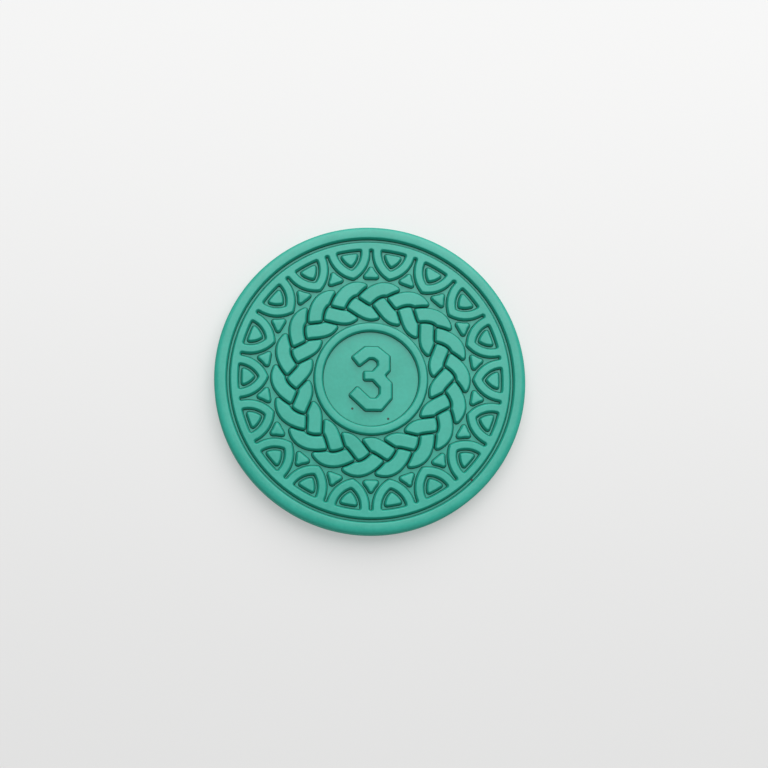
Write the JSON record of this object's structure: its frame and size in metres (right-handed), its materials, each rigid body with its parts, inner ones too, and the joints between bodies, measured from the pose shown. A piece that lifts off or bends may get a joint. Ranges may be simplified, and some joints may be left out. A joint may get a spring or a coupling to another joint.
{
  "type": "game coin",
  "caption": "Round painted metal game coin with a raised rim, a petal border, a plaited ring and a value numeral in relief on both sides.",
  "frame": {"origin": "centre of the plane that the coin lies on, at the back's rim", "axes": "+Z out of the coin's face, +Y towards the top of the face's numeral, +X to its right"},
  "size_m": [0.038, 0.038, 0.0025],
  "materials": {
    "field_paint": "matte",
    "rim_paint": "matte",
    "relief_paint": "matte"
  },
  "bodies": {
    "root": {"blank": "field_paint", "rim": "rim_paint", "face_petal_border": "relief_paint", "face_petal_hearts": "relief_paint", "face_darts": "relief_paint", "face_strand_a": "relief_paint", "face_strand_b": "relief_paint", "face_strand_c": "relief_paint", "face_medallion_ring": "relief_paint", "face_numeral": "relief_paint", "back_petal_border": "relief_paint", "back_petal_hearts": "relief_paint", "back_darts": "relief_paint", "back_strand_a": "relief_paint", "back_strand_b": "relief_paint", "back_strand_c": "relief_paint", "back_medallion_ring": "relief_paint", "back_numeral": "relief_paint"}
  },
  "joints": []
}
